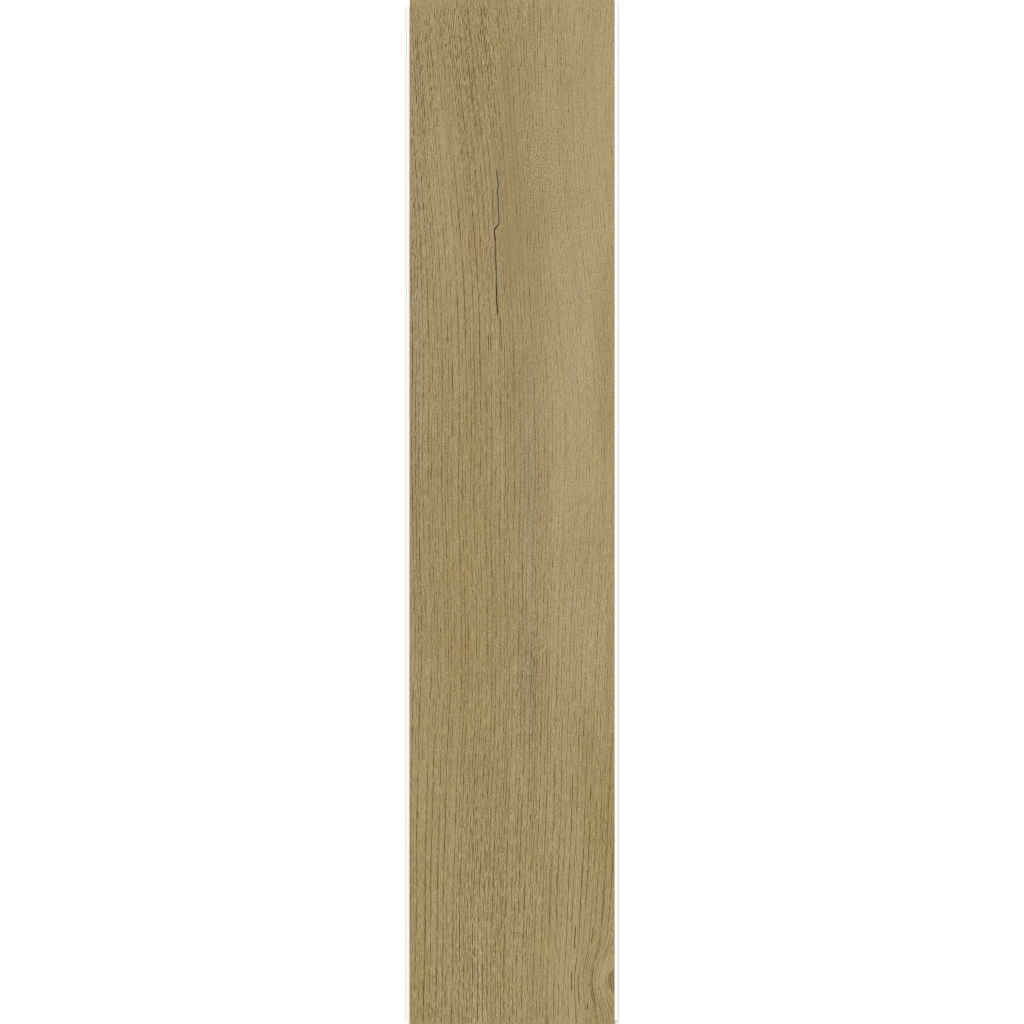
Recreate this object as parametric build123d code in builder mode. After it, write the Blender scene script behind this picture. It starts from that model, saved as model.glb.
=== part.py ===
"""Herringbone hybrid floor plank: a rigid-core board with a click-lock joint milled round its four edges.

One long side and one end carry the tongue. The other long side and the other end carry the groove, with
a lower lip that reaches past the face and ends in a locking ridge. Each pair of edges is milled straight
through, so the board is what two milled sections have in common: one across it and one along it.
"""

import os
from math import radians, tan

from build123d import *

# The board, in millimetres
face_length = 600.0  # visible face, along Y
face_width = 120.0  # visible face, along X
thickness = 6.5  # rigid core with the backing bonded under it
bevel = 0.3  # micro-bevel round the face

# The locking joint, the same on the sides and the ends
upper_lip = 2.0  # from the face down to the tongue
tongue_thickness = 1.6
tongue_reach = 2.2  # past the edge of the face
nose_bulge = 0.5  # rise of the tongue's rounded nose
lip_reach = 3.0  # past the edge of the face
lip_chamfer = 0.4  # on the lip's lower outer corner, which leads it under the next board
ridge_height = 0.7  # above the lip's flat
ridge_width = 0.9  # across the ridge, where its crest begins
crest_rise = 0.2  # rise of the ridge's rounded crest
flank_angle = 60.0  # slope of the two locking flanks, in degrees from level

# Play between two boards that are locked together
seat_play = 0.05  # where the tongue seats in the groove, and between the locking flanks
end_play = 0.2  # beyond the tongue's nose, over the ridge and beyond the lip

# Heights that follow from those sizes, from the underside up
tongue_top = thickness - upper_lip
tongue_floor = tongue_top - tongue_thickness
groove_roof = tongue_top + seat_play
lip_top = tongue_floor - seat_play
ridge_top = lip_top + ridge_height
crest_foot = ridge_top - crest_rise
recess_roof = ridge_top + end_play

# Runs that follow, from the edge of the face
flank_slope = tan(radians(flank_angle))
groove_depth = tongue_reach + end_play
ridge_inside = lip_reach - ridge_width
flank_foot = ridge_inside - (crest_foot - lip_top) / flank_slope
recess_foot = flank_foot - seat_play
recess_inside = recess_foot + (recess_roof - tongue_floor) / flank_slope
recess_reach = lip_reach + end_play


def milled_section(face_size, plane):
    """The section between two opposite edges: groove and lip on the low side, tongue on the high side."""
    low_edge = -face_size / 2
    high_edge = face_size / 2
    lip_end = low_edge - lip_reach
    groove_end = low_edge + groove_depth
    tongue_tip = high_edge + tongue_reach
    groove_middle = (groove_roof + lip_top) / 2
    tongue_middle = (tongue_top + tongue_floor) / 2

    with BuildSketch(plane) as section:
        with BuildLine():
            face = Polyline(
                (groove_end - nose_bulge, groove_roof),
                (low_edge, groove_roof),
                (low_edge, thickness - bevel),
                (low_edge + bevel, thickness),
                (high_edge - bevel, thickness),
                (high_edge, thickness - bevel),
                (high_edge, tongue_top),
                (tongue_tip - nose_bulge, tongue_top),
            )
            nose = ThreePointArc(
                face @ 1, (tongue_tip, tongue_middle), (tongue_tip - nose_bulge, tongue_floor)
            )
            underside = Polyline(
                nose @ 1,
                (high_edge - recess_foot, tongue_floor),
                (high_edge - recess_inside, recess_roof),
                (high_edge - recess_reach, recess_roof),
                (high_edge - recess_reach, 0),
                (lip_end + lip_chamfer, 0),
                (lip_end, lip_chamfer),
                (lip_end, crest_foot),
            )
            crest = ThreePointArc(
                underside @ 1,
                (lip_end + ridge_width / 2, ridge_top),
                (low_edge - ridge_inside, crest_foot),
            )
            lip = Polyline(
                crest @ 1,
                (low_edge - flank_foot, lip_top),
                (groove_end - nose_bulge, lip_top),
            )
            ThreePointArc(lip @ 1, (groove_end, groove_middle), face @ 0)
        make_face()
    return section.sketch


# The board as it leaves the mill: the two sections, each swept right through the other's edges
with BuildPart() as milled:
    extrude(milled_section(face_width, Plane.XZ), amount=face_length, both=True)
    extrude(
        milled_section(face_length, Plane.YZ), amount=face_width, both=True, mode=Mode.INTERSECT
    )

# Where a locking ridge runs out over the recess of a tongue edge, the mill cuts its end loose.
# Those two chips fall away, and the board is the largest solid.
with BuildPart() as plank:
    add(milled.solids().sort_by(SortBy.VOLUME)[-1])

plank.part.label = "plank"
os.makedirs("parts", exist_ok=True)
export_step(plank.part, "parts/plank.step")
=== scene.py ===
"""Looks of the herringbone hybrid floor plank.

The board keeps the milled edges of its CAD solid. Its flat face is rebuilt with the oak grain pressed into
it: thousands of pores, each a narrow groove of its own, and the crack and the marks of this decor. The
grain's course is one formula, used on arrays to lay the grooves and in the material to lay the colours, so
the relief and the print stay in register. Sizes are in millimetres until a mesh is made.
"""

from collections import namedtuple

import bmesh
import bpy
import numpy as np
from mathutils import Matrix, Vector
from mathutils.geometry import delaunay_2d_cdt


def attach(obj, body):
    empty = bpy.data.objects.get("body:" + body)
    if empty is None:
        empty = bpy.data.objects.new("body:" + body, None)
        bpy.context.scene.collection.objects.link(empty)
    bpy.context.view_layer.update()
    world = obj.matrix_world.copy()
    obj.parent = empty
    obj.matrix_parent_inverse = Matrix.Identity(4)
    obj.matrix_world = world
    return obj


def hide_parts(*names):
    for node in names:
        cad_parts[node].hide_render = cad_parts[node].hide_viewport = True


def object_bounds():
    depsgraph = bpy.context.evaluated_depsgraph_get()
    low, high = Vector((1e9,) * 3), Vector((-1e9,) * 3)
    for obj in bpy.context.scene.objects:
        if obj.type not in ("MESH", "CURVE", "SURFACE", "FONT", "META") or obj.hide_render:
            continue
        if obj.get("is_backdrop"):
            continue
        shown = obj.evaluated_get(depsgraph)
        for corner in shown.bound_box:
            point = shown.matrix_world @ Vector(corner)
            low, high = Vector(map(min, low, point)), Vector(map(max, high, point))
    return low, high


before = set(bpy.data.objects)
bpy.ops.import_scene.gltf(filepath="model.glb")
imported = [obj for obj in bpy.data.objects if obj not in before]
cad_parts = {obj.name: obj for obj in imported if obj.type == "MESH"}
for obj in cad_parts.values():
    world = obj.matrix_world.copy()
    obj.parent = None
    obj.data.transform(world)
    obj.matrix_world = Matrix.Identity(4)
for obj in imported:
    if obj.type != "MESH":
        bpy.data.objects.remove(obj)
cad_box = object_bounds()

MM = 0.001
SEED = 7

# The board's build-up, which the edges show
BACKING = 1.5  # foam bonded under the core
FILM = 0.5  # printed film and wear layer on the core

# The face, read from the CAD solid: its flat part and the rim that its bevel goes down to
LEVEL_SLACK = 0.01
cad_points = np.array([v.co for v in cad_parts["plank"].data.vertices]) / MM
levels = np.unique(cad_points[:, 2].round(3))
face_level = levels[-1]
bevel_foot = levels[-2]
flat_half = np.abs(cad_points[cad_points[:, 2] > face_level - LEVEL_SLACK, :2]).max(axis=0)
rim_half = np.abs(cad_points[np.abs(cad_points[:, 2] - bevel_foot) < LEVEL_SLACK, :2]).max(axis=0)

# Where the grain lines bow sideways: a bell round (u, v), u across the face and v along it
Bow = namedtuple("Bow", "u v reach_u reach_v shift")
BOWS = (
    Bow(-32.0, 340.0, 40.0, 140.0, -19.0),  # lines come in from the left at the far end
    Bow(48.0, 235.0, 36.0, 100.0, -10.0),  # and on the right a little later
    Bow(48.0, 45.0, 32.0, 80.0, 5.0),  # where they swell to the right
    Bow(-30.0, -75.0, 40.0, 55.0, 2.0),
    Bow(-20.0, -330.0, 60.0, 150.0, -6.0),  # a slight lean back at the near end
    Bow(72.0, -350.0, 42.0, 190.0, -15.0),  # the long sweep towards the knot
    Bow(67.0, -274.0, 21.0, 15.0, -17.0),  # round the knot
)
BOW_REACH = 30.0  # more than they shift a line anywhere on the face
HALVINGS = 40  # of twice that, which find a line's place
# Slow waves of the grain: length along the face, slant across it, sideways swing
WAVES = ((83.0, 47.0, 0.45), (31.0, 23.0, 0.32), (13.0, 11.0, 0.18))

# Grain lines: how far apart they are, and waves (length, phase, swing in lines) that make this uneven
LINE = 2.15
LINE_WAVES = ((19.0, 4.0, 0.9), (3.1, 1.0, 0.3), (1.37, 2.0, 0.2))
# Waves that swell and fade a line on its way: their length, and their turn from one line to the next
PULSES = ((60.0, 1.7), (11.0, 2.4), (4.7, -1.9))

# Broad tones of the decor: 8-bit steps of brightness, a share of grey and a change of the grain's contrast
Tone = namedtuple("Tone", "u v reach_u reach_v light grey vigour")
TONES = (
    # The pale band on the right and its tail, with darker and greyer patches in and beside them
    Tone(52.0, 160.0, 40.0, 235.0, 8.5, 0.0, -0.35),
    Tone(34.0, -20.0, 13.0, 130.0, 5.0, 0.10, -0.12),
    Tone(15.0, 150.0, 14.0, 70.0, -3.0, 0.0, 0.0),
    Tone(32.0, 188.0, 30.0, 40.0, -2.5, 0.0, 0.0),
    Tone(34.0, 125.0, 36.0, 45.0, 0.0, 0.09, 0.0),
    Tone(52.0, 48.0, 14.0, 35.0, -2.2, 0.0, 0.0),
    Tone(38.0, -80.0, 26.0, 50.0, 2.6, 0.0, 0.0),
    Tone(57.0, 105.0, 7.0, 40.0, -8.0, -0.15, 0.0),
    # The far end: brown bands, and quiet patches beside them and beside the crack
    Tone(0.0, 290.0, 75.0, 45.0, 0.0, -0.08, 0.0),
    Tone(-20.0, 275.0, 12.0, 90.0, -9.0, 0.0, 0.0),
    Tone(-30.0, 292.0, 26.0, 45.0, -2.5, 0.0, 0.45),
    Tone(-2.0, 225.0, 6.5, 120.0, -10.0, 0.0, -0.40),
    Tone(-39.0, 230.0, 7.0, 50.0, 1.0, 0.10, -0.35),
    Tone(2.0, 155.0, 9.0, 30.0, -4.0, -0.10, -0.35),
    # The left half: a dark greyish edge and the ground beside it
    Tone(-58.0, 150.0, 9.0, 220.0, -1.5, 0.25, 0.45),
    Tone(-44.0, 170.0, 12.0, 80.0, 2.5, -0.1, 0.0),
    Tone(-18.0, 120.0, 14.0, 110.0, 1.0, 0.0, 0.22),
    Tone(-54.0, 70.0, 14.0, 90.0, 0.0, 0.09, 0.0),
    Tone(-25.0, -40.0, 16.0, 110.0, -3.0, -0.10, 0.0),
    Tone(-46.0, -130.0, 16.0, 60.0, 3.0, 0.0, 0.0),
    # The grey streak in the middle
    Tone(11.0, 20.0, 9.0, 75.0, -3.0, 0.35, 0.0),
    Tone(10.0, -92.0, 10.0, 38.0, -4.0, 0.33, 0.30),
    # The near end: bold grain, with a brown patch above the knot and pale wood round it
    Tone(-10.0, -260.0, 65.0, 120.0, 3.5, 0.0, 0.35),
    Tone(-14.0, -190.0, 13.0, 55.0, -4.0, 0.0, 0.0),
    Tone(22.0, -185.0, 22.0, 40.0, 1.5, 0.07, 0.0),
    Tone(46.0, -195.0, 14.0, 32.0, 0.0, 0.0, 0.20),
    Tone(49.0, -168.0, 9.0, 48.0, -6.0, -0.15, 0.15),
    Tone(-55.0, -240.0, 12.0, 90.0, -2.0, -0.05, 0.10),
    Tone(-20.0, -250.0, 9.0, 70.0, 2.0, 0.14, 0.15),
    Tone(26.0, -268.0, 24.0, 32.0, 0.0, 0.0, -0.35),
    Tone(44.0, -290.0, 25.0, 45.0, 2.0, 0.0, 0.0),
    Tone(54.0, -272.0, 4.0, 9.0, 8.0, 0.0, -0.3),
)
# The half knot on the right edge, with a firmer outline than the tones have
KNOT = Tone(60.2, -274.2, 5.0, 6.5, -29.0, 0.4, 0.0)
# The stippled patch, where the flecks are nearly as short as they are wide
STIPPLE = Tone(17.0, 204.0, 15.0, 34.0, 3.5, 0.0, 0.0)

# How the pores lie: their usual length, how many there are, how far they gather in few bold lines,
# and how far they stand out from the print as thin lines close together
Stand = namedtuple("Stand", "u v reach_u reach_v length density coarse fine")
STANDS = (
    Stand(52.0, 160.0, 42.0, 235.0, -0.30, -0.35, 0.0, 0.0),  # short and few on the pale band
    Stand(17.0, 205.0, 14.0, 34.0, -0.75, 0.4, 0.0, 0.0),  # stippled patch
    Stand(-26.0, 290.0, 24.0, 60.0, 1.8, 0.1, 0.0, 1.0),  # long thin lines at the far end
    Stand(-60.0, 200.0, 12.0, 130.0, 0.0, 0.0, 0.0, 0.7),  # dashes on the left edge
    Stand(-28.0, 130.0, 20.0, 45.0, 0.7, 0.0, 0.6, 0.0),  # bold lines beside the crack
    Stand(-14.0, 70.0, 14.0, 85.0, 0.7, 0.1, 0.3, 0.0),  # straight ones below it
    Stand(0.0, -260.0, 90.0, 120.0, 0.8, 0.1, 0.1, 0.0),  # long lines at the near end
    Stand(-48.0, -215.0, 15.0, 105.0, 0.5, 0.0, 0.85, 0.0),  # bold on the left and on the right
    Stand(42.0, -235.0, 24.0, 95.0, 0.5, 0.0, 0.95, 0.0),
    Stand(-20.0, -240.0, 10.0, 110.0, 1.0, 0.2, -0.3, 1.0),  # and thin between
    Stand(59.7, -273.2, 6.0, 7.5, 0.0, -3.0, 0.0, 0.0),  # none in the knot
)


class Wire:
    """An output socket, with arithmetic that adds Math nodes to its tree."""

    def __init__(self, tree, socket):
        self.tree = tree
        self.socket = socket

    def maths(self, operation, *operands):
        node = self.tree.nodes.new("ShaderNodeMath")
        node.operation = operation
        for slot, operand in zip(node.inputs, operands):
            feed(self.tree, slot, operand)
        return Wire(self.tree, node.outputs[0])

    def __add__(self, other):
        return self.maths("ADD", self, other)

    def __radd__(self, other):
        return self.maths("ADD", other, self)

    def __sub__(self, other):
        return self.maths("SUBTRACT", self, other)

    def __rsub__(self, other):
        return self.maths("SUBTRACT", other, self)

    def __mul__(self, other):
        return self.maths("MULTIPLY", self, other)

    def __rmul__(self, other):
        return self.maths("MULTIPLY", other, self)

    def __truediv__(self, other):
        return self.maths("DIVIDE", self, other)

    def __neg__(self):
        return self.maths("MULTIPLY", self, -1.0)

    def at_most(self, limit):
        return self.maths("MINIMUM", self, limit)

    def at_least(self, limit):
        return self.maths("MAXIMUM", self, limit)


def feed(tree, slot, value):
    """Links a wire into an input, or sets the input to a constant."""
    if isinstance(value, Wire):
        tree.links.new(value.socket, slot)
    else:
        slot.default_value = value


def exp(x):
    return x.maths("EXPONENT", x) if isinstance(x, Wire) else np.exp(x)


def sine(x):
    return x.maths("SINE", x) if isinstance(x, Wire) else np.sin(x)


# The formulas from here to total() take arrays as well as wires, except bent_back()
def squared_distance(u, v, spot):
    """How far a place is from the middle of a spot, in the spot's own reach, squared."""
    across = (u - spot.u) / spot.reach_u
    along = (v - spot.v) / spot.reach_v
    return across * across + along * along


def bell(u, v, spot):
    """1 at the middle of a spot, falling off smoothly to 0 round it."""
    return exp(-squared_distance(u, v, spot))


def firm_bell(u, v, spot):
    """A bell with a flatter top and steeper sides."""
    squared = squared_distance(u, v, spot)
    fourth = squared * squared
    return exp(-(fourth * fourth))


def straightened(u, v):
    """Where a point lies across the grain: the same value all along one grain line."""
    across = u
    for bow in BOWS:
        across = across - bow.shift * bell(u, v, bow)
    for length, slant, swing in WAVES:
        across = across - swing * sine(v / length + u / slant)
    return across


def bent_back(across, v):
    """The inverse of straightened(), by halving an interval that is sure to hold it."""
    low = across - BOW_REACH
    high = across + BOW_REACH
    for _ in range(HALVINGS):
        middle = (low + high) / 2
        short = straightened(middle, v) < across
        low = np.where(short, middle, low)
        high = np.where(short, high, middle)
    return (low + high) / 2


def line_number(across):
    """Counts the grain lines across the grain, a whole number on each."""
    number = across / LINE
    for length, phase, swing in LINE_WAVES:
        number = number + swing * sine(across / length + phase)
    return number


def pulse(number, v):
    """How far a grain line swells at a place, round 0."""
    return sum(sine(v / length + turn * number) for length, turn in PULSES)


def soft_line(number, every, width):
    """1 on one grain line out of so many, falling off smoothly to 0 beside it."""
    off = sine(number * (np.pi / every)) / width
    return exp(-(off * off))


def total(spots, name, u, v):
    """The sum over spots of one of their effects at a place."""
    return sum(getattr(spot, name) * bell(u, v, spot) for spot in spots if getattr(spot, name))


# Grooves: a course (u, v), the groove's swelling and colours along it, half width, depth and ink strength
Groove = namedtuple("Groove", "u v swell colours half_width depth strength")

# Inks, as linear light
PORE_BROWN = (0.115, 0.055, 0.004)
PORE_GREY = (0.088, 0.058, 0.012)
SLATE = (0.080, 0.085, 0.072)
CHAR = (0.035, 0.028, 0.014)
PALE = (0.52, 0.42, 0.24)

# The crack of this decor, as one course (u, v) down the face, in runs of one colour each
CRACK = (
    (SLATE, (-8.9, 203.0), (-8.9, 198.5), (-8.5, 195.0), (-8.1, 191.3), (-8.5, 187.5), (-8.0, 182.3),
     (-8.1, 177.8), (-7.8, 173.3), (-7.5, 170.3), (-7.7, 168.8)),
    (CHAR, (-8.5, 167.6), (-9.4, 166.5), (-10.2, 165.2), (-10.4, 163.2), (-10.0, 161.0), (-9.7, 158.8)),
    (SLATE, (-9.7, 156.4), (-9.5, 152.0), (-9.6, 148.6), (-9.3, 143.8), (-9.1, 139.2), (-9.2, 134.0)),
    (CHAR, (-9.2, 131.0), (-9.1, 124.5), (-8.7, 120.5), (-8.6, 117.6), (-8.4, 113.0)),
)
CRACK_SIZE = (0.52, 0.30, 0.95)  # half width, depth and ink strength

# Other marks, with courses (u, v) down the face
Mark = namedtuple("Mark", "course half_width depth colour strength")
MARKS = (
    # A branch at the crack's bend
    Mark(((-8.0, 167.0), (-8.7, 165.9), (-9.0, 164.4)), 0.30, 0.14, CHAR, 0.7),
    # Thin lines that carry on below the crack
    Mark(((-6.9, 117.0), (-6.6, 110.0), (-6.4, 102.5), (-6.3, 96.0), (-6.4, 92.0)),
         0.33, 0.14, PORE_BROWN, 0.9),
    Mark(((-7.8, 86.0), (-8.0, 82.6), (-8.3, 77.0)), 0.33, 0.14, PORE_BROWN, 0.9),
    Mark(((-13.7, 107.0), (-13.7, 100.0), (-13.7, 85.0)), 0.33, 0.14, PORE_BROWN, 0.9),
    # Pale flecks beside the crack, and a pale line, all of them flat
    Mark(((-16.3, 161.5), (-15.8, 159.2), (-15.0, 156.4)), 0.55, 0.0, PALE, 0.5),
    Mark(((-7.0, 168.4), (-5.4, 167.4), (-3.2, 166.8)), 0.40, 0.0, PALE, 0.4),
    Mark(((-5.6, 66.0), (-5.9, 40.0), (-5.8, 10.0), (-5.9, -20.0)), 0.35, 0.0, PALE, 0.6),
    # Single dark marks
    Mark(((-38.7, 274.1), (-38.7, 273.4), (-38.7, 272.6), (-38.7, 271.9)), 0.75, 0.14, CHAR, 0.8),
    Mark(((-45.7, -106.0), (-45.7, -110.7), (-45.8, -116.0)), 0.42, 0.14, PORE_BROWN, 0.9),
    Mark(((-44.5, -127.0), (-44.5, -131.2), (-44.7, -138.0)), 0.42, 0.14, PORE_BROWN, 1.0),
    Mark(((5.9, -93.6), (6.0, -96.5), (6.1, -98.9)), 0.45, 0.14, CHAR, 0.8),
    Mark(((2.9, -102.0), (2.8, -106.7), (3.0, -112.0)), 0.40, 0.14, PORE_BROWN, 1.0),
    Mark(((8.4, -95.0), (8.5, -97.5), (8.7, -100.0)), 0.36, 0.12, PORE_BROWN, 1.0),
)

# Grain lines that are dark for a stretch round the knot: a place (u, v) on each, where it starts and stops
Streak = namedtuple("Streak", "u v start stop half_width strength")
STREAKS = (
    Streak(46.8, -275.0, -249.0, -264.5, 0.32, 0.5),  # the ring that sweeps round the knot
    Streak(46.8, -275.0, -265.0, -291.0, 0.45, 0.72),
    Streak(51.0, -268.0, -251.0, -263.5, 0.30, 0.5),
    Streak(42.8, -271.0, -241.5, -254.0, 0.42, 0.8),
    Streak(42.8, -271.0, -256.5, -270.0, 0.30, 0.5),
    Streak(42.8, -271.0, -285.5, -294.0, 0.40, 0.8),
    Streak(38.8, -271.0, -269.0, -290.0, 0.36, 0.7),
    Streak(36.9, -248.0, -241.0, -257.0, 0.46, 0.85),
    Streak(36.9, -248.0, -267.0, -282.0, 0.40, 0.75),
)
STREAK_DEPTH = 0.12
STREAK_STEP = 2.0  # between the points of a course

# Pores, laid one after another in rows along the grain: a row on each grain line and one between
ROW_REACH = 85.0  # of the rows, either way across the straightened face
ROW_TABLE = 20000  # places at which the grain lines are counted
ROW_JITTER = (0.05, 0.12)  # on the lines and between, in lines
MOST_JITTER = 2.0  # standard deviations at which random offsets are cut off
GRID = 1.0  # step along a row at which its surroundings are worked out
LINE_PORE = (5.4, 0.9)  # usual length and gap of the pores on the lines
FINE_PORE = (2.5, 1.6)  # and of those between
PORE_SPREAD = 0.75  # of lengths and gaps
PORE_LEAST = 0.9  # length below which a pore is left out
PORE_WIDTH = (0.30, 0.80)  # of the faintest and the boldest
PORE_DEPTH = (0.05, 0.12)
BOLDNESS = (0.37, 0.16, 0.03, 0.05)  # usual, more on the lines, on every other line, and by their swelling
COARSE_BOLDNESS = (0.26, 0.10, 0.26, 0.06)  # the same where the grain is coarse
FINE_BOLDNESS = (0.32, -0.09, 0.0, 0.0)  # and what is added where the lines are thin and close together
CHANCE = 0.12  # spread of the boldness
FAINT = 0.06  # boldness below which a pore is left out
LEAST_DENSITY = 0.1  # which keeps the gaps between pores finite
INK = (0.08, 0.82)  # strength of the faintest and the boldest
GREY_SHARE = 0.3  # of pores with the greyer ink
CLEAR = 0.08  # flat left beside a groove
MARK_CLEAR = 0.45  # and from a mark to the middle of a pore
MARK_SAMPLES = 200  # places along a mark that pores keep clear of
EDGE_MARGIN = 0.12  # flat left along the bevel
STATIONS = (4, 19)  # points along a pore, at least and at most
STATION_STEP = 3.8  # length that calls for one more
TIP = 0.4  # of a step: how far the points next to the tips move towards them
SWELL = (0.45, 1.0)  # share of its width and depth that a pore has at a point
WOBBLE = 0.03  # sideways, of the points of a pore


def even_groove(u, v, colours, *size):
    """A groove that doesn't swell along its course."""
    return Groove(u, v, np.ones(len(u)), colours, *size)


def mark_grooves():
    """The crack and the other listed marks as grooves."""
    crack = [(*point, *colour) for colour, *points in CRACK for point in points]
    u, v, *colours = np.array(crack).T
    yield even_groove(u, v, np.transpose(colours), *CRACK_SIZE)
    for mark in MARKS:
        u, v = np.array(mark.course).T
        yield even_groove(u, v, [mark.colour] * len(u), mark.half_width, mark.depth, mark.strength)
    for streak in STREAKS:
        v = np.linspace(streak.start, streak.stop, int((streak.start - streak.stop) / STREAK_STEP))
        u = bent_back(np.full(len(v), straightened(streak.u, streak.v)), v)
        yield even_groove(u, v, [PORE_BROWN] * len(u), streak.half_width, STREAK_DEPTH, streak.strength)


def span(limits, share):
    """The value at a share of the way between two limits."""
    return limits[0] + (limits[1] - limits[0]) * share


def offsets(draw, count):
    """Random offsets round 0, none of them extreme."""
    return np.clip(draw.normal(size=count), -MOST_JITTER, MOST_JITTER)


class Rows:
    """The rows of pores, with what shapes the pores on a grid along the face."""

    def __init__(self, draw):
        places = np.linspace(-ROW_REACH, ROW_REACH, ROW_TABLE)
        counted = line_number(places)
        self.number = np.arange(np.ceil(counted[0]), counted[-1], 0.5)
        self.on_line = self.number % 1 == 0
        jitter = np.where(self.on_line, *ROW_JITTER) * offsets(draw, len(self.number))
        self.across = np.interp(self.number + jitter, counted, places)
        self.grid = np.arange(-flat_half[1], flat_half[1], GRID)
        across, v = np.meshgrid(self.across, self.grid, indexing="ij")
        u = bent_back(across, v)
        self.stretch = 1 + total(STANDS, "length", u, v)
        self.density = np.maximum(1 + total(STANDS, "density", u, v), LEAST_DENSITY)
        self.grey = GREY_SHARE + total(TONES, "grey", u, v)
        self.vigour = 1 + total(TONES, "vigour", u, v)
        self.boldness = self.vigour * self.usual_boldness(u, v)
        self.room = self.usual_room(u)
        for groove in mark_grooves():
            self.keep_off(groove)

    def usual_boldness(self, u, v):
        """How bold a pore is before chance and the print's vigour come in."""
        coarse = np.clip(total(STANDS, "coarse", u, v), 0.0, 1.0)
        fine = total(STANDS, "fine", u, v)
        number = self.number[:, None]
        line = np.where(self.on_line, 1, -1)[:, None]
        other_line = np.cos(np.pi * number)
        swelling = np.where(line > 0, pulse(number, v), 0.0)
        causes = (1.0, line, other_line, swelling)
        effects = zip(causes, zip(BOLDNESS, COARSE_BOLDNESS), FINE_BOLDNESS)
        return sum(cause * (span(limits, coarse) + more * fine) for cause, limits, more in effects)

    def usual_room(self, u):
        """Half the width that a pore may have, up to the neighbouring rows or the bevel."""
        spacing = np.diff(u, axis=0, prepend=u[:1] - LINE, append=u[-1:] + LINE)
        room = np.minimum(spacing[1:], spacing[:-1]) / 2 - CLEAR
        room[np.abs(u) > flat_half[0] - EDGE_MARGIN] = 0.0
        return room

    def cell(self, v):
        """The grid step that a place along the face falls in."""
        return int(np.clip((v + flat_half[1]) / GRID, 0, len(self.grid) - 1))

    def keep_off(self, groove):
        """Leaves no room for pores beside a mark."""
        steps = np.linspace(0, len(groove.u) - 1, MARK_SAMPLES)
        mark_u, mark_v = (np.interp(steps, range(len(axis)), axis) for axis in (groove.u, groove.v))
        for place, v in zip(straightened(mark_u, mark_v), mark_v):
            near = np.abs(self.across - place) < groove.half_width + MARK_CLEAR
            self.room[near, self.cell(v - GRID) : self.cell(v + GRID) + 1] = 0.0


Pore = namedtuple("Pore", "across v length room boldness grey")


def laid_pores(rows, draw):
    """Pores of random lengths, laid one after another along the rows."""
    for row, across in enumerate(rows.across):
        usual_length, usual_gap = LINE_PORE if rows.on_line[row] else FINE_PORE
        v = -flat_half[1] + draw.uniform(0, usual_length)
        while v < flat_half[1] - PORE_LEAST:
            here = rows.cell(v)
            spread = np.exp(draw.normal(0.0, PORE_SPREAD, 2))
            length = usual_length * rows.stretch[row, here] * spread[0]
            room = rows.room[row, here : rows.cell(v + length) + 1]
            tight = room < PORE_WIDTH[0] / 2
            if tight.any():
                length = min(length, GRID * tight.argmax())
            middle = rows.cell(v + length / 2)
            boldness = rows.boldness[row, middle] + CHANCE * rows.vigour[row, middle] * draw.normal()
            kept, grey = draw.uniform(size=2) < (rows.density[row, middle], rows.grey[row, middle])
            if kept and boldness > FAINT and length >= PORE_LEAST:
                yield Pore(across, v + length / 2, length, room[~tight].min(), min(boldness, 1.0), grey)
            v += length + usual_gap * spread[1] / rows.density[row, here]


def station_count(pore):
    """How many points a pore has along it, by its length."""
    return int(np.clip(STATIONS[0] + pore.length // STATION_STEP, *STATIONS))


def station_shares(count):
    """Where the points of a pore lie along it, from -0.5 to 0.5."""
    shares = np.linspace(-0.5, 0.5, count)
    shares[1] -= TIP / (count - 1)
    shares[-2] += TIP / (count - 1)
    return shares


def random_pores():
    """The pores as grooves that follow the grain."""
    draw = np.random.default_rng(SEED)
    pores = list(laid_pores(Rows(draw), draw))
    counts = [station_count(pore) for pore in pores]
    stations = [pore.v + pore.length * station_shares(count) for pore, count in zip(pores, counts)]
    v = np.concatenate(stations)
    across = np.repeat([pore.across for pore in pores], counts)
    u = bent_back(across + WOBBLE * offsets(draw, len(v)), v)
    swell = draw.uniform(*SWELL, len(v))
    cuts = np.cumsum(counts)[:-1]
    for pore, *course in zip(pores, np.split(u, cuts), np.split(v, cuts), np.split(swell, cuts)):
        colours = [PORE_GREY if pore.grey else PORE_BROWN] * len(course[0])
        half_width = min(span(PORE_WIDTH, pore.boldness) / 2, pore.room)
        size = (half_width, span(PORE_DEPTH, pore.boldness), span(INK, pore.boldness))
        yield Groove(*course, colours, *size)


def corners(half):
    """A rectangle's corners, one after another round it."""
    return [(-half[0], -half[1]), (half[0], -half[1]), (half[0], half[1]), (-half[0], half[1])]


def followed(items):
    """Each item with the one after it, and the last with the first."""
    return zip(items, items[1:] + items[:1])


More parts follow.
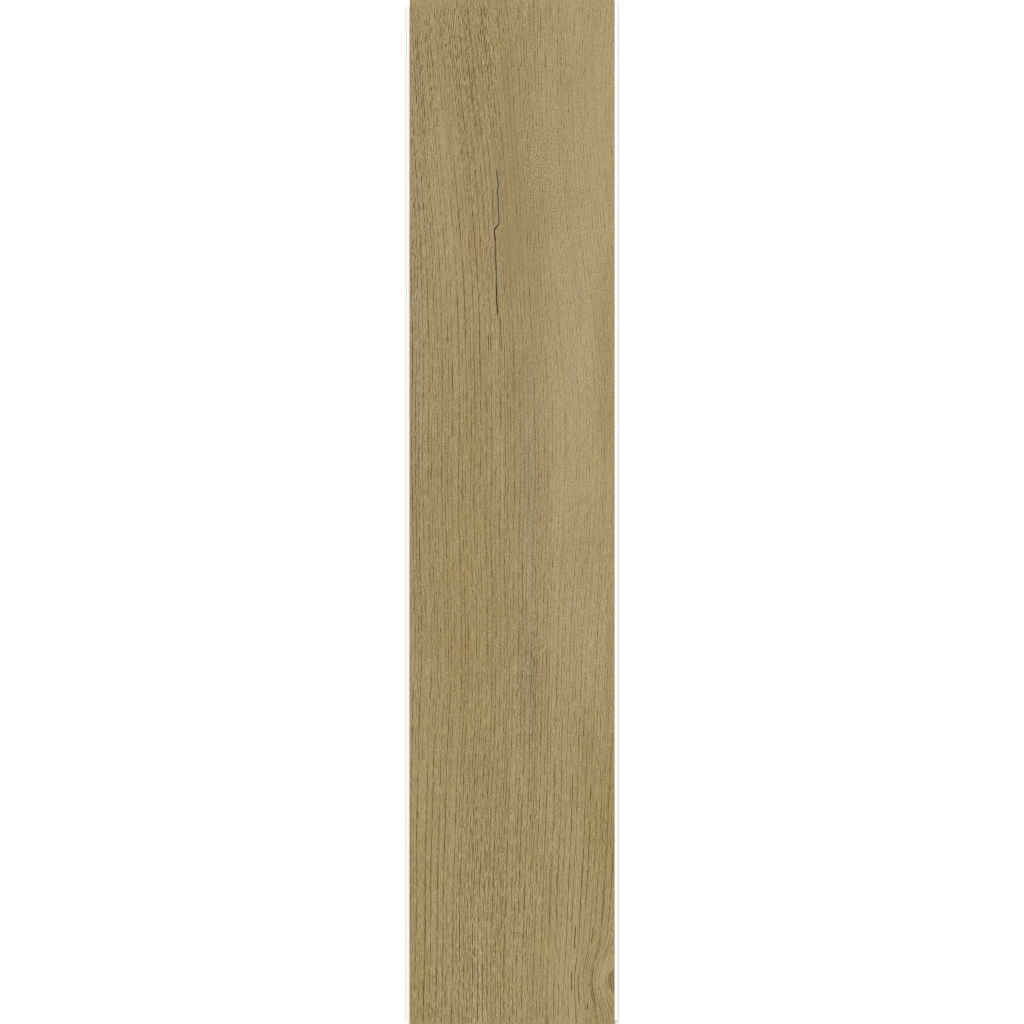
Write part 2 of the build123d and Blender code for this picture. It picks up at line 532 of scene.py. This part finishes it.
class Sheet:
    """Points and edges of the face before it is cut into triangles."""

    def __init__(self):
        self.points = []
        self.depths = []
        self.inks = []
        self.edges = []

    def point(self, u, v, depth=0.0, ink=(0.0, 0.0, 0.0, 0.0)):
        self.points.append((u, v))
        self.depths.append(depth)
        self.inks.append(ink)
        return len(self.points) - 1

    def groove(self, groove):
        """A boat-shaped groove: two tips, a left and a right bank, and a bed between them."""
        slope = np.gradient(groove.u, groove.v)
        side = groove.half_width * groove.swell / np.sqrt(1 + slope * slope)
        tips = [self.point(groove.u[k], groove.v[k], 0.0, (*groove.colours[k], 0.0)) for k in (0, -1)]
        left, bed, right = [], [], []
        for k in range(1, len(groove.u) - 1):
            u, v, half, lean = groove.u[k], groove.v[k], side[k], slope[k]
            blank = (*groove.colours[k], 0.0)
            full = (*groove.colours[k], groove.strength * groove.swell[k])
            left.append(self.point(u - half, v + half * lean, 0.0, blank))
            bed.append(self.point(u, v, groove.depth * groove.swell[k], full))
            right.append(self.point(u + half, v - half * lean, 0.0, blank))
        self.edges.extend(followed([tips[0], *left, tips[1], *right[::-1]]))
        middle = [tips[0], *bed, tips[1]]
        self.edges.extend(zip(middle, middle[1:]))

    def border(self, half, step):
        """The rectangle that the bevel starts from; returns the points along its sides, side by side."""
        sides = []
        for side, (a, b) in enumerate(followed(corners(half))):
            count = round(2 * half[side % 2] / step[side % 2])
            spots = [[p + (q - p) * k / count for p, q in zip(a, b)] for k in range(count)]
            sides.append([self.point(*spot) for spot in spots])
        self.edges.extend(followed(sum(sides, [])))
        return [side + [following[0]] for side, following in followed(sides)]


BORDER_STEP = (1.5, 6.0)  # between the border's points, on the ends and on the long sides
STRETCH = 10.0  # the face is cut into triangles squeezed lengthwise by this, which suits long thin grooves
WHOLE_SHEET = 0  # asks for triangles all over the sheet
SAME_POINT = 1e-6


def inside_flat(groove):
    """Whether a groove stays clear of the bevel."""
    spread = groove.half_width + EDGE_MARGIN
    beside = np.abs(groove.u).max() + spread < flat_half[0]
    return beside and np.abs(groove.v).max() + EDGE_MARGIN < flat_half[1]


def grained_face():
    """The flat face with its grooves: points in millimetres, inks, triangles and the border's sides."""
    sheet = Sheet()
    sides = sheet.border(flat_half, BORDER_STEP)
    for groove in (*mark_grooves(), *random_pores()):
        if inside_flat(groove):
            sheet.groove(groove)
    flat = [Vector((u, v / STRETCH)) for u, v in sheet.points]
    cut = delaunay_2d_cdt(flat, sheet.edges, [], WHOLE_SHEET, SAME_POINT)
    points, _, triangles, origins, _, _ = cut
    known = np.array([origin[0] if origin else -1 for origin in origins])
    depths = np.where(known < 0, 0.0, np.array(sheet.depths)[known])
    inks = np.where(known[:, None] < 0, 0.0, np.array(sheet.inks)[known])
    places = np.array([(p.x, p.y * STRETCH, 0.0) for p in points])
    places[:, 2] = face_level - depths
    renamed = {old: new for new, old in enumerate(known) if old >= 0}
    return places, inks, triangles, [[renamed[k] for k in side] for side in sides]


WELD = 1e-6  # metres
FLAT_ANGLE = 0.01  # between faces that are joined into one
DECOR, CORE, FOAM = range(3)  # material slots


def layer_slot(height):
    """The material slot of the layer at a height."""
    if height < BACKING:
        return FOAM
    return DECOR if height > face_level - FILM else CORE


def milled_board():
    """The CAD board less its flat face and bevel, welded, with its layers parted: a bmesh in metres."""
    board = bmesh.new()
    board.from_mesh(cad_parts["plank"].data)
    bmesh.ops.remove_doubles(board, verts=board.verts, dist=WELD)
    foot = bevel_foot * MM - WELD
    top = [f for f in board.faces if min(v.co.z for v in f.verts) > foot]
    bmesh.ops.delete(board, geom=top, context="FACES")
    bmesh.ops.dissolve_limit(board, angle_limit=FLAT_ANGLE, verts=board.verts, edges=board.edges)
    for level in (BACKING, face_level - FILM):
        geometry = [*board.verts, *board.edges, *board.faces]
        plane = {"plane_co": (0, 0, level * MM), "plane_no": (0, 0, 1)}
        bmesh.ops.bisect_plane(board, geom=geometry, dist=WELD, **plane)
    for face in board.faces:
        face.material_index = layer_slot(face.calc_center_median().z / MM)
    return board


FACE_SHARE = 0.64  # of the map's width; the edges and the underside share the rest
MAP_GAP = 0.004


def unwrapped(board):
    """UV places of the board's face corners, from Blender's own unwrapping, in the face order."""
    mesh = bpy.data.meshes.new("unwrap")
    board.to_mesh(mesh)
    holder = bpy.data.objects.new("unwrap", mesh)
    bpy.context.scene.collection.objects.link(holder)
    bpy.context.view_layer.objects.active = holder
    holder.select_set(True)
    bpy.ops.object.mode_set(mode="EDIT")
    bpy.ops.mesh.select_all(action="SELECT")
    bpy.ops.uv.smart_project(island_margin=MAP_GAP)
    bpy.ops.object.mode_set(mode="OBJECT")
    places = np.zeros(2 * len(mesh.loops))
    mesh.uv_layers.active.data.foreach_get("uv", places)
    bpy.data.objects.remove(holder)
    bpy.data.meshes.remove(mesh)
    return places.reshape(-1, 2)


def face_map(places):
    """UV places of points of the face, in metres, which fills the map lengthwise."""
    share = places[:, :2] / (2 * rim_half * MM) + 0.5
    return share * (FACE_SHARE - 2 * MAP_GAP, 1 - 2 * MAP_GAP) + MAP_GAP


def nearest(points, place):
    """Which of some points, in metres, is nearest to a place in millimetres."""
    return int(np.linalg.norm(points - np.array(place) * MM, axis=1).argmin())


def plank_mesh(points, faces, slots, inks, board_map):
    """A mesh with material slots, ink on its points, and a map that starts with the milled board's."""
    mesh = bpy.data.meshes.new("oak_plank")
    mesh.from_pydata(points.tolist(), [], faces)
    mesh.polygons.foreach_set("material_index", slots)
    ink = mesh.attributes.new("ink", "FLOAT_COLOR", "POINT")
    ink.data.foreach_set("color", inks.ravel())
    corner_points = np.zeros(len(mesh.loops), int)
    mesh.loops.foreach_get("vertex_index", corner_points)
    map_places = face_map(points[corner_points])
    map_places[: len(board_map)] = board_map
    mesh.uv_layers.new(name="OFBake").data.foreach_set("uv", map_places.ravel())
    mesh.update()
    return mesh


def plank_piece():
    """The whole board as one closed mesh: the milled board, the bevels and the grained face."""
    board = milled_board()
    board_map = unwrapped(board) * (1 - FACE_SHARE, 1.0) + (FACE_SHARE, 0.0)
    board.verts.index_update()
    board_points = np.array([v.co for v in board.verts])
    board_faces = [[v.index for v in f.verts] for f in board.faces]
    board_slots = [f.material_index for f in board.faces]
    board.free()

    places, inks, triangles, sides = grained_face()
    first = len(board_points)
    feet = [nearest(board_points, (*corner, bevel_foot)) for corner in corners(rim_half)]
    bevels = [[a, b, *[first + k for k in reversed(side)]] for side, (a, b) in zip(sides, followed(feet))]
    decor_faces = bevels + [[first + k for k in triangle] for triangle in triangles]

    points = np.vstack([board_points, places * MM])
    all_inks = np.vstack([np.zeros((first, 4)), inks])
    slots = board_slots + [DECOR] * len(decor_faces)
    mesh = plank_mesh(points, board_faces + decor_faces, slots, all_inks, board_map)
    piece = bpy.data.objects.new("oak_plank", mesh)
    bpy.context.scene.collection.objects.link(piece)
    return piece


# Screen colours, and how steps of brightness change them
OAK = np.array((156.0, 134.0, 85.6))
GREYED_OAK = np.array((149.0, 134.0, 99.2))
CORE_WHITE = np.array((236.0, 234.0, 228.0))
FOAM_GREY = np.array((206.0, 207.0, 206.0))
TONE_STEP = np.array((0.90, 1.0, 1.10))  # the primaries' shares in a step
TONE_SPAN = 100.0  # steps that the ramps reach either way
TONE_STOPS = 9

# Noises: the size of their cells across and along, their finer detail, and a seed for those in a plane
Noise = namedtuple("Noise", "wide long detail rough seed", defaults=(None,))
STRAND = Noise(0.72, 5.0, 2.0, 0.6, 1.0)  # long fibres
THREAD = Noise(0.62, 1.05, 0.0, 0.5, 2.0)  # short fibres
DRIFT_ACROSS = Noise(26.0, 60.0, 2.0, 0.5, 3.0)
FADE = Noise(1.8, 8.5, 1.0, 0.5, 4.0)  # where a soft line fades
BAND = Noise(10.0, 160.0, 2.0, 0.5, 5.0)
BLOTCH = Noise(1.6, 22.0, 3.0, 0.6, 6.0)  # greyer fibres
DRIFT_ALONG = Noise(18.0, 70.0, 2.0, 0.5, 8.0)
SPECK = Noise(0.8, 1.0, 0.0, 0.5, 9.0)  # flecks of the stippled patch
STRIAE = Noise(0.8, 2.6, 2.0, 0.6, 10.0)  # in the knot
WIGGLE = Noise(2.0, 3.0, 1.0, 0.5, 11.0)  # of the soft lines
MOTTLE = Noise(17.0, 45.0, 2.0, 0.5, 12.0)
TINT = Noise(2.4, 3.0, 3.0, 0.7, 13.0)  # small changes of hue

# What the noises add to the print, in steps of brightness
LONG_FIBRE = 50.0
SHORT_FIBRE = 54.0
BAND_STEPS = 16.0
MOTTLE_STEPS = 14.0
FLECK_STEPS = 115.0
STRIAE_STEPS = 90.0
# Soft dark lines: one on each grain line, or a bolder one on every other line where the grain is coarse
SoftLine = namedtuple("SoftLine", "every width steps")
USUAL_LINE = SoftLine(1, 0.8, 21.5)
COARSE_LINE = SoftLine(2, 0.42, 34.0)
LINE_STRENGTH = (0.6, 0.16, 1.6)  # usual, by the line's swelling and by where it fades
LINE_WIGGLE = 1.1  # millimetres
FINE_LINE_LOSS = 0.7  # of the soft lines where thin pores take their place
COARSE_CALM = 0.35  # how far the fibres calm down where the grain is coarse
FINE_CALM = 0.25  # and where it is fine
DRIFT = (7.0, 60.0)  # millimetres by which the outlines of the tones wander
GREYING = (0.35, 1.4, 1.5)  # usual, by the blotches and by the tint
INK_COVER = (1.5, 4.5)  # usual, and by the short fibres, which bead it

# Surfaces: roughness, its swing with the noise, and a bump's strength and height
Finish = namedtuple("Finish", "roughness swing bump height")
OAK_FINISH = Finish(0.55, 0.25, 0.25, 0.06)
INK_ROUGHNESS = 0.1  # more in the ink
OAK_SPECULAR = 0.3
CORE_FINISH = Finish(0.6, 0.2, 0.3, 0.05)
FOAM_FINISH = Finish(0.85, 0.1, 0.6, 0.2)

# The core's speckle and the cutter's lines, and the foam's cells and mottling, with their steps
CORE_SPECK = Noise(0.35, 0.35, 2.0, 0.6)
CUTTER_LINES = Noise(0.12, 0.12, 1.0, 0.5, 1.0)
CORE_STEPS = (32.0, 12.0)
FOAM_CELLS = Noise(0.6, 0.6, 3.0, 0.6)
FOAM_MOTTLE = Noise(9.0, 9.0, 2.0, 0.5)
FOAM_STEPS = (24.0, 10.0)


def linear(colour):
    """An 8-bit sRGB screen colour as linear light."""
    share = np.clip(np.asarray(colour, float) / 255, 0.0, 1.0)
    return np.where(share <= 0.04045, share / 12.92, ((share + 0.055) / 1.055) ** 2.4)


def by_identifier(sockets, identifier):
    """One of some sockets, several of which may have the same name."""
    return next(socket for socket in sockets if socket.identifier == identifier)


class Shader:
    """A material with a Principled shader and helpers that add nodes to it."""

    def __init__(self, name):
        self.material = bpy.data.materials.new(name)
        self.material.use_nodes = True
        self.tree = self.material.node_tree
        self.main = next(n for n in self.tree.nodes if n.type == "BSDF_PRINCIPLED")
        places = self.add("ShaderNodeTexCoord")
        split = self.add("ShaderNodeSeparateXYZ")
        self.tree.links.new(places.outputs["Object"], split.inputs[0])
        self.u, self.v, self.w = (Wire(self.tree, output) / MM for output in split.outputs)

    def add(self, kind, **settings):
        node = self.tree.nodes.new(kind)
        for name, value in settings.items():
            setattr(node, name, value)
        return node

    def noise(self, u, v, noise):
        """Noise round 0 in a plane."""
        return self.noise_at((u / noise.wide, v / noise.long, noise.seed), noise)

    def solid_noise(self, noise):
        """Noise round 0 in space, with cells of the same size all ways."""
        return self.noise_at([axis / noise.wide for axis in (self.u, self.v, self.w)], noise)

    def noise_at(self, place, noise):
        """Noise round 0 at a place that is given in cells."""
        join = self.add("ShaderNodeCombineXYZ")
        for slot, value in zip(join.inputs, place):
            feed(self.tree, slot, value)
        node = self.add("ShaderNodeTexNoise")
        node.inputs["Scale"].default_value = 1.0
        node.inputs["Detail"].default_value = noise.detail
        node.inputs["Roughness"].default_value = noise.rough
        self.tree.links.new(join.outputs[0], node.inputs["Vector"])
        return Wire(self.tree, node.outputs[0]) - 0.5

    def ramp(self, steps, base):
        """A screen colour that is lighter than its base by some steps."""
        node = self.add("ShaderNodeValToRGB")
        elements = node.color_ramp.elements
        while len(elements) < TONE_STOPS:
            elements.new(0.5)
        for element, share in zip(elements, np.linspace(0.0, 1.0, TONE_STOPS)):
            element.position = share
            element.color = (*linear(base + span((-TONE_SPAN, TONE_SPAN), share) * TONE_STEP), 1.0)
        feed(self.tree, node.inputs[0], 0.5 + steps / (2 * TONE_SPAN))
        return Wire(self.tree, node.outputs[0])

    def mix(self, share, a, b):
        node = self.add("ShaderNodeMix", data_type="RGBA")
        for name, value in {"Factor_Float": share, "A_Color": a, "B_Color": b}.items():
            feed(self.tree, by_identifier(node.inputs, name), value)
        return Wire(self.tree, by_identifier(node.outputs, "Result_Color"))

    def bump(self, height, finish):
        node = self.add("ShaderNodeBump")
        node.inputs["Strength"].default_value = finish.bump
        node.inputs["Distance"].default_value = finish.height * MM
        feed(self.tree, node.inputs["Height"], height)
        self.tree.links.new(node.outputs[0], self.main.inputs["Normal"])

    def set(self, **values):
        for name, value in values.items():
            feed(self.tree, self.main.inputs[name.replace("_", " ")], value)


def eased(x):
    """A value drawn half way to 1."""
    return 0.5 + 0.5 * x


def soft_lines(shader, across, coarse):
    """How far the soft lines darken the print, in steps, where they have their full strength."""
    number = line_number(across + LINE_WIGGLE * shader.noise(shader.u, shader.v, WIGGLE))
    usual, bold = (
        line.steps * soft_line(number, line.every, line.width) for line in (USUAL_LINE, COARSE_LINE)
    )
    mean, by_swelling, by_fading = LINE_STRENGTH
    fade = shader.noise(across, shader.v, FADE)
    strength = mean + by_swelling * pulse(number, shader.v) + by_fading * fade
    return (usual * (1.0 - coarse) + bold * coarse) * strength


def grain_steps(shader, across, vigour, strand, thread):
    """Steps of brightness of the fibres and of the soft lines among them."""
    u, v = shader.u, shader.v
    run = 1.0 + total(STANDS, "length", u, v)
    coarse = total(STANDS, "coarse", u, v).at_most(1.0)
    fine = total(STANDS, "fine", u, v)
    # The soft lines give way where the pores are short and where they are thin
    lines = soft_lines(shader, across, coarse) * run.at_most(1.0) * (1.0 - FINE_LINE_LOSS * fine)
    fibre = vigour * eased(run) * LONG_FIBRE * strand + eased(vigour) * SHORT_FIBRE * thread
    return fibre * (1.0 - COARSE_CALM * coarse - FINE_CALM * fine) - vigour * lines


def patch_steps(shader, knot):
    """Steps of brightness of the stippled patch and of the knot."""
    u, v = shader.u, shader.v
    flecks = shader.noise(u, v, SPECK).at_least(0.0)
    stippled = bell(u, v, STIPPLE) * (STIPPLE.light - FLECK_STEPS * flecks)
    return stippled + knot * (KNOT.light + STRIAE_STEPS * shader.noise(u, v, STRIAE))


def oak_decor():
    """The printed oak: broad tones, fibres along the grain, and the ink in the grooves."""
    shader = Shader("oak_decor")
    u, v = shader.u, shader.v
    across = straightened(u, v)
    strand = shader.noise(across, v, STRAND)
    thread = shader.noise(across, v, THREAD)
    drift_u = u + DRIFT[0] * shader.noise(u, v, DRIFT_ACROSS)
    drift_v = v + DRIFT[1] * shader.noise(u, v, DRIFT_ALONG)
    light, grey, vigour = (total(TONES, name, drift_u, drift_v) for name in ("light", "grey", "vigour"))
    knot = firm_bell(u, v, KNOT)

    steps = light + grain_steps(shader, across, 1.0 + vigour, strand, thread) + patch_steps(shader, knot)
    steps = steps + BAND_STEPS * shader.noise(across, v, BAND) + MOTTLE_STEPS * shader.noise(u, v, MOTTLE)
    usual, by_blotch, by_tint = GREYING
    greying = grey + KNOT.grey * knot + usual + by_blotch * shader.noise(across, v, BLOTCH)
    greying = greying + by_tint * shader.noise(u, v, TINT)
    wood = shader.mix(greying, shader.ramp(steps, OAK), shader.ramp(steps, GREYED_OAK))

    ink = shader.add("ShaderNodeAttribute", attribute_name="ink")
    cover = Wire(shader.tree, ink.outputs["Alpha"]) * (INK_COVER[0] + INK_COVER[1] * thread)
    colour = shader.mix(cover, wood, Wire(shader.tree, ink.outputs["Color"]))
    roughness = OAK_FINISH.roughness + OAK_FINISH.swing * thread + INK_ROUGHNESS * cover
    shader.set(Base_Color=colour, Roughness=roughness, Specular_IOR_Level=OAK_SPECULAR)
    shader.bump(strand + thread, OAK_FINISH)
    return shader.material


def rigid_core():
    """The milled stone-plastic core: off-white, with a fine speckle and the cutter's faint lines."""
    shader = Shader("rigid_core")
    speck = shader.solid_noise(CORE_SPECK)
    lines = shader.noise(shader.w, shader.w, CUTTER_LINES)
    colour = shader.ramp(CORE_STEPS[0] * speck + CORE_STEPS[1] * lines, CORE_WHITE)
    shader.set(Base_Color=colour, Roughness=CORE_FINISH.roughness + CORE_FINISH.swing * speck)
    shader.bump(speck + lines, CORE_FINISH)
    return shader.material


def foam_backing():
    """The bonded underlay: pale grey closed-cell foam."""
    shader = Shader("foam_backing")
    cells = shader.solid_noise(FOAM_CELLS)
    mottle = shader.solid_noise(FOAM_MOTTLE)
    colour = shader.ramp(FOAM_STEPS[0] * cells + FOAM_STEPS[1] * mottle, FOAM_GREY)
    shader.set(Base_Color=colour, Roughness=FOAM_FINISH.roughness + FOAM_FINISH.swing * cells)
    shader.bump(cells, FOAM_FINISH)
    return shader.material


FLOOR_SIZE = 60.0  # metres, so that low views don't look past it
FLOOR_WHITE = (0.94, 0.94, 0.94, 1.0)
FLOOR_ROUGHNESS = 0.9


def pale_floor():
    """A plain pale floor for the board to lie on."""
    bpy.ops.mesh.primitive_plane_add(size=FLOOR_SIZE)
    floor = bpy.context.object
    floor.name = "floor"
    paint = bpy.data.materials.new("floor_paint")
    paint.use_nodes = True
    surface = paint.node_tree.nodes["Principled BSDF"]
    surface.inputs["Base Color"].default_value = FLOOR_WHITE
    surface.inputs["Roughness"].default_value = FLOOR_ROUGHNESS
    surface.inputs["Specular IOR Level"].default_value = 0.0
    floor.data.materials.append(paint)
    floor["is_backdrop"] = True


SKY_WHITE = (1.0, 1.0, 1.0, 1.0)
SKY_STRENGTH = 0.5
LAMP_STRENGTH = 2.4
LAMP_ANGLE = 0.7  # as wide as a large softbox
LAMP_WAY = (0.05, -0.5, -0.86)  # its light runs along the board, so that it shades the grooves little


def studio_light():
    """An even sky and one large soft lamp overhead."""
    world = bpy.data.worlds.new("studio")
    bpy.context.scene.world = world
    world.use_nodes = True
    sky = world.node_tree.nodes["Background"]
    sky.inputs["Color"].default_value = SKY_WHITE
    sky.inputs["Strength"].default_value = SKY_STRENGTH
    lamp = bpy.data.lights.new("softbox", "SUN")
    lamp.energy = LAMP_STRENGTH
    lamp.angle = LAMP_ANGLE
    holder = bpy.data.objects.new("softbox", lamp)
    holder.rotation_euler = Vector(LAMP_WAY).to_track_quat("-Z", "Y").to_euler()
    bpy.context.scene.collection.objects.link(holder)


LENS = 100.0
SENSOR = 36.0
PIXEL_FILTER = 0.8  # pixels


def camera_above():
    """A camera straight above the face, which fills the picture's height from end to end."""
    camera = bpy.data.cameras.new("camera")
    camera.lens = LENS
    camera.sensor_width = SENSOR
    holder = bpy.data.objects.new("camera", camera)
    holder.location = (0.0, 0.0, (face_level + 2 * flat_half[1] * LENS / SENSOR) * MM)
    bpy.context.scene.collection.objects.link(holder)
    bpy.context.scene.camera = holder


bpy.context.scene.view_settings.view_transform = "Standard"
bpy.context.scene.cycles.filter_width = PIXEL_FILTER
plank = plank_piece()
for make in (oak_decor, rigid_core, foam_backing):
    plank.data.materials.append(make())
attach(plank, "root")
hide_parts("plank")
pale_floor()
studio_light()
camera_above()

boxes = {"cad": cad_box, "visual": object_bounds()}
{name: [list(corner) for corner in box] for name, box in boxes.items()}
